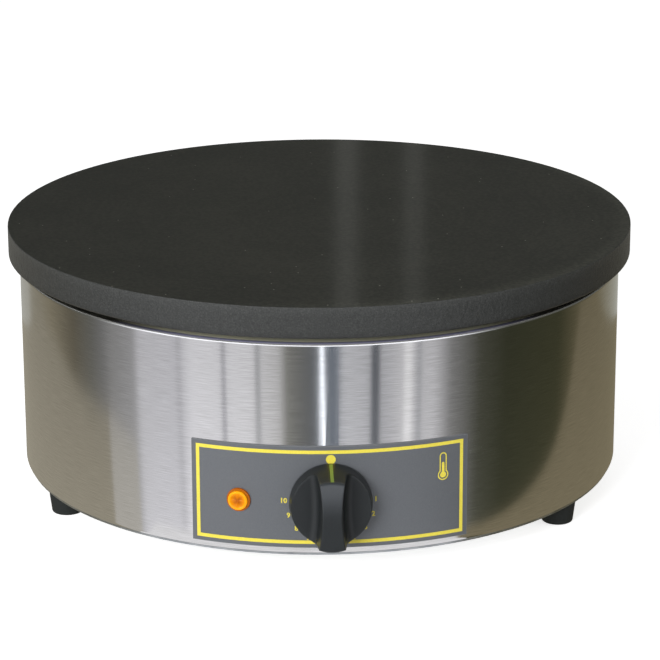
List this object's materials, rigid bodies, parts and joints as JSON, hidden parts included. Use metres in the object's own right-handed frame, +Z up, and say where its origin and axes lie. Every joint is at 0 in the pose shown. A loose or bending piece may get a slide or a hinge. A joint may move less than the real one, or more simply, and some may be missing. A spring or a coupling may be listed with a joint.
{
  "type": "electric crepe maker",
  "caption": "Round cast iron griddle plate on a brushed steel casing with rubber feet, a wrapped front control panel, a thermostat knob and a pilot lamp.",
  "frame": {"origin": "on the table, under the centre of the round plate and casing", "axes": "+Z up, -Y to the front with the control knob, +X to the right seen from the front"},
  "size_m": [0.3999, 0.4393, 0.1723],
  "materials": {
    "seasoned_cast_iron": "turned and seasoned, satin",
    "heater_sheath": "annealed dull sheath",
    "zinc_plated_steel": "zinc plated",
    "galvanised_steel": "galvanised sheet",
    "aluminised_steel": "aluminised sheet",
    "brushed_stainless": "brushed round the casing",
    "bright_steel": "bright drawn",
    "copper_tube": "drawn tube",
    "brass_plain": "plain",
    "mineral_wool": "needled blanket",
    "ceramic_white": "fired, unglazed",
    "foot_rubber": "moulded, matt",
    "seal_rubber": "moulded, matt",
    "panel_film": "printed film, fine grain",
    "orange_lens": "clear tinted moulding",
    "nylon_white": "moulded",
    "nylon_black": "moulded",
    "knob_plastic": "moulded, fine grain",
    "pointer_yellow": "moulded inlay",
    "lead_brown": "silicone sleeve",
    "lead_black": "silicone sleeve",
    "lead_blue": "silicone sleeve",
    "lead_green": "silicone sleeve",
    "lead_white": "silicone sleeve"
  },
  "bodies": {
    "machine": {"griddle_plate": "seasoned_cast_iron", "plate_spacers": "zinc_plated_steel", "plate_bolts": "zinc_plated_steel", "plate_washers": "zinc_plated_steel", "support_ring": "zinc_plated_steel", "heating_element_outer": "heater_sheath", "heating_element_middle": "heater_sheath", "heating_element_inner": "heater_sheath", "terminal_beads": "ceramic_white", "terminal_nuts": "brass_plain", "bus_bars": "brass_plain", "clamp_bars": "zinc_plated_steel", "clamp_studs": "zinc_plated_steel", "clamp_nuts": "zinc_plated_steel", "insulation_pad": "mineral_wool", "reflector_tray": "aluminised_steel", "tray_nuts": "zinc_plated_steel", "outer_casing": "brushed_stainless", "base_plate": "galvanised_steel", "base_screws": "zinc_plated_steel", "foot_left": "foot_rubber", "foot_right": "foot_rubber", "foot_rear": "foot_rubber", "foot_screws": "zinc_plated_steel", "foot_washers": "zinc_plated_steel", "foot_nuts": "zinc_plated_steel", "control_panel": "panel_film", "pilot_lamp_lens": "orange_lens", "pilot_lamp_body": "nylon_white", "pilot_lamp_nut": "nylon_black", "thermostat_body": "ceramic_white", "thermostat_bracket": "zinc_plated_steel", "thermostat_screws": "zinc_plated_steel", "thermostat_terminals": "brass_plain", "thermostat_bulb": "bright_steel", "bulb_clips": "bright_steel", "bulb_clip_screws": "zinc_plated_steel", "capillary_tube": "copper_tube", "terminal_block": "ceramic_white", "terminal_screws": "brass_plain", "terminal_block_screws": "zinc_plated_steel", "earth_stud": "brass_plain", "earth_nuts": "brass_plain", "cable_gland_body": "nylon_black", "cable_gland_seal": "seal_rubber", "cable_gland_cap": "nylon_black", "cable_gland_locknut": "nylon_black", "live_lead": "lead_brown", "switched_lead": "lead_black", "neutral_lead": "lead_blue", "earth_lead": "lead_green", "lamp_leads": "lead_white"},
    "knob": {"thermostat_spindle": "bright_steel", "control_knob": "knob_plastic", "knob_pointer": "pointer_yellow", "knob_spring_clip": "bright_steel"}
  },
  "joints": [
    {"name": "knob_turn", "type": "hinge", "parent": "machine", "child": "knob", "pos_m": [0, -0.1948, 0.0488], "axis": [0, 1, 0], "range_deg": [0, 270]}
  ]
}
